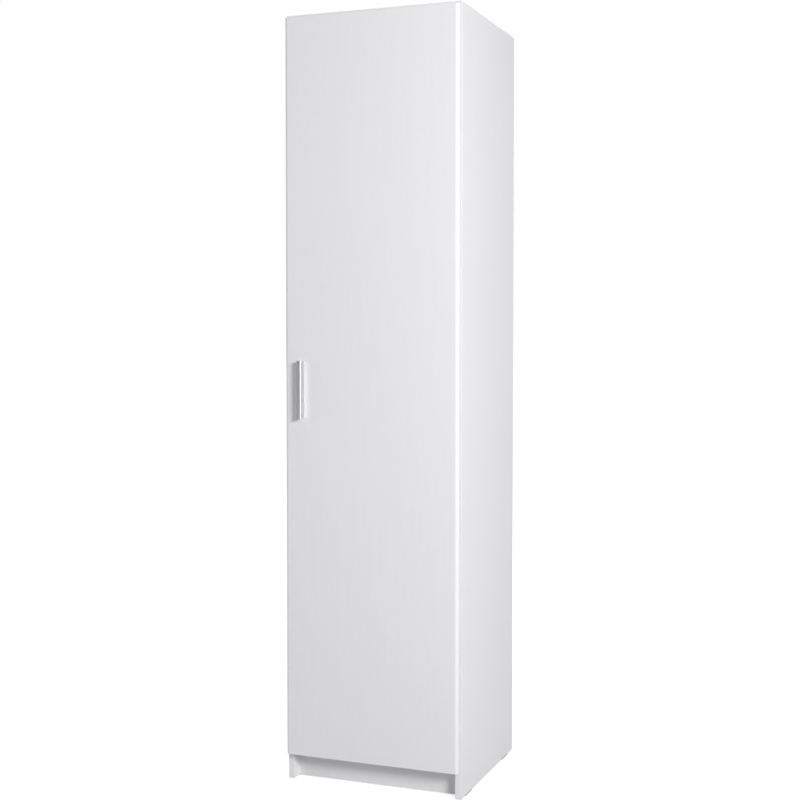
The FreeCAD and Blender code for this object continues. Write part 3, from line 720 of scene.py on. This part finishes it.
class CUPBOARD_OT_door(bpy.types.Operator):
    """Door leaf: faces wrapped round the long front edges, banded at both ends"""

    bl_idname = "cupboard.door"
    bl_label = "Door"

    def execute(self, context):
        settings = context.scene.cupboard_boards
        low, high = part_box("door_panel")
        bm = solid_copy("door_panel")
        for face in bm.faces:
            if on_plane(face, Z, low.z) or on_plane(face, Z, high.z):
                face.material_index = BAND
            elif is_bore_wall(face, low, high):
                face.material_index = RAW
            else:
                face.material_index = FACE
        soft = [edge for edge in bm.edges
                if is_corner(edge) and any(face.material_index == BAND for face in edge.link_faces)]
        soft += [edge for edge in outer_edges(bm, low, high)
                 if on_plane(edge, Y, high.y) and edge not in soft]
        round_edges(bm, soft, settings.edge_softness, BAND_STEPS)
        faces = (melamine("door_foil", settings, Z), edge_band(settings), raw_chipboard(settings))
        piece = new_piece("door_leaf", bm, faces, "door")
        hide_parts("door_panel")
        return {"FINISHED"}


class CUPBOARD_OT_handle(bpy.types.Operator):
    """Slim bar handle with rounded front edges and sloping ends, and its screws"""

    bl_idname = "cupboard.handle"
    bl_label = "Handle"

    def execute(self, context):
        settings = context.scene.cupboard_handle
        fittings = context.scene.cupboard_fittings
        low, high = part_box("handle")
        bm = bar(settings, low, high)
        piece = new_piece("bar_handle", bm, (satin_metal(settings),), "door")
        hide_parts("handle")
        dress(plated("handle_screw_zinc", fittings.zinc, fittings.edge_softness, ZINC_ROUGHNESS),
              "handle_screws")
        return {"FINISHED"}


class CUPBOARD_OT_hinges(bpy.types.Operator):
    """Concealed hinges: nickel plated cups, arms, levers and plates, with zinc screws"""

    bl_idname = "cupboard.hinges"
    bl_label = "Hinges"

    def execute(self, context):
        fittings = context.scene.cupboard_fittings
        soft = fittings.edge_softness
        dress(plated("hinge_nickel", fittings.nickel, soft, NICKEL_ROUGHNESS), "hinge_cups",
              "hinge_arms", "hinge_outer_levers", "hinge_inner_levers", "hinge_plates")
        dress(plated("hinge_screw_zinc", fittings.zinc, soft, ZINC_ROUGHNESS),
              "hinge_cup_screws", "hinge_plate_screws", "hinge_arm_screws")
        dress(plated("hinge_pin_steel", fittings.steel, soft, PIN_ROUGHNESS),
              "hinge_arm_pins", "hinge_cup_pins")
        return {"FINISHED"}


class CUPBOARD_OT_joinery(bpy.types.Operator):
    """Cams, bolts, caps and dowels that hold the boards together"""

    bl_idname = "cupboard.joinery"
    bl_label = "Joinery"

    def execute(self, context):
        fittings = context.scene.cupboard_fittings
        soft = fittings.edge_softness
        dress(plated("cam_casting", fittings.casting, soft, CASTING_ROUGHNESS,
                     pit_scale=500.0, pit_depth=0.00008), "cam_locks")
        dress(plated("bolt_zinc", fittings.zinc, soft, ZINC_ROUGHNESS), "cam_bolts")
        dress(moulded("cap_plastic", fittings.white_plastic, soft), "cam_caps")
        dress(beech(fittings), "dowels")
        return {"FINISHED"}


class CUPBOARD_OT_feet(bpy.types.Operator):
    """Glides under the sides with their nails, and the bumpers behind the door"""

    bl_idname = "cupboard.feet"
    bl_label = "Glides and bumpers"

    def execute(self, context):
        fittings = context.scene.cupboard_fittings
        soft = fittings.edge_softness
        dress(moulded("glide_plastic", fittings.grey_plastic, soft * 2,
                      roughness=0.5, texture_scale=1400.0), "glides")
        dress(plated("glide_nail_steel", fittings.steel, soft, NAIL_ROUGHNESS), "glide_nails")
        dress(clear_bumper(fittings), "door_bumpers")
        return {"FINISHED"}


class CUPBOARD_OT_wall_bracket(bpy.types.Operator):
    """Zinc plated bracket under the top, with its two screws"""

    bl_idname = "cupboard.wall_bracket"
    bl_label = "Wall bracket"

    def execute(self, context):
        fittings = context.scene.cupboard_fittings
        dress(plated("bracket_zinc", fittings.zinc, fittings.edge_softness, BRACKET_ROUGHNESS),
              "wall_bracket", "wall_bracket_screws")
        return {"FINISHED"}


class CUPBOARD_OT_studio(bpy.types.Operator):
    """Pale floor, soft lamps and the camera"""

    bl_idname = "cupboard.studio"
    bl_label = "Studio"

    def execute(self, context):
        settings = context.scene.cupboard_studio
        low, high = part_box("handle")
        handle, middle = (low + high) / 2, Vector(WIDE_TARGET)
        lay_floor(settings)
        light_room(settings)
        hang_lamp("key_lamp", KEY_PLACE, handle, settings.key_power, settings.key_size)
        hang_lamp("top_lamp", TOP_PLACE, middle, settings.top_power, settings.wide_size)
        hang_lamp("left_lamp", LEFT_PLACE, middle, settings.left_power, settings.wide_size,
                  mirrored=False)
        hang_lamp("rear_lamp", REAR_PLACE, middle, settings.rear_power, settings.wide_size,
                  mirrored=False)
        # The card paints a dark reflection into the metal and gloss; it casts no light or shadow.
        bend_reflection_card(settings)
        place_camera(settings)
        context.scene.view_settings.view_transform = "Standard"
        return {"FINISHED"}


OPERATORS = (
    CUPBOARD_OT_boards, CUPBOARD_OT_back, CUPBOARD_OT_door, CUPBOARD_OT_handle,
    CUPBOARD_OT_hinges, CUPBOARD_OT_joinery, CUPBOARD_OT_feet, CUPBOARD_OT_wall_bracket,
    CUPBOARD_OT_studio,
)


class CUPBOARD_PT_panel(bpy.types.Panel):
    """Lists the steps that dress the cupboard, and their settings"""

    bl_idname = "CUPBOARD_PT_panel"
    bl_label = "Broom Cupboard"
    bl_space_type = "VIEW_3D"
    bl_region_type = "UI"
    bl_category = "Cupboard"

    def draw(self, context):
        for operator in OPERATORS:
            self.layout.operator(operator.bl_idname)
        for group, kind in SETTINGS.items():
            box = self.layout.box()
            for name in kind.__annotations__:
                box.prop(getattr(context.scene, group), name)


def register():
    for kind in (*SETTINGS.values(), *OPERATORS, CUPBOARD_PT_panel):
        bpy.utils.register_class(kind)
    for group, kind in SETTINGS.items():
        setattr(bpy.types.Scene, group, PointerProperty(type=kind))


def unregister():
    for group in SETTINGS:
        delattr(bpy.types.Scene, group)
    for kind in (CUPBOARD_PT_panel, *reversed(OPERATORS), *reversed(list(SETTINGS.values()))):
        bpy.utils.unregister_class(kind)


def main():
    register()
    bpy.ops.cupboard.boards()
    bpy.ops.cupboard.back()
    bpy.ops.cupboard.door()
    bpy.ops.cupboard.handle()
    bpy.ops.cupboard.hinges()
    bpy.ops.cupboard.joinery()
    bpy.ops.cupboard.feet()
    bpy.ops.cupboard.wall_bracket()
    bpy.ops.cupboard.studio()


if __name__ == "__main__":
    main()
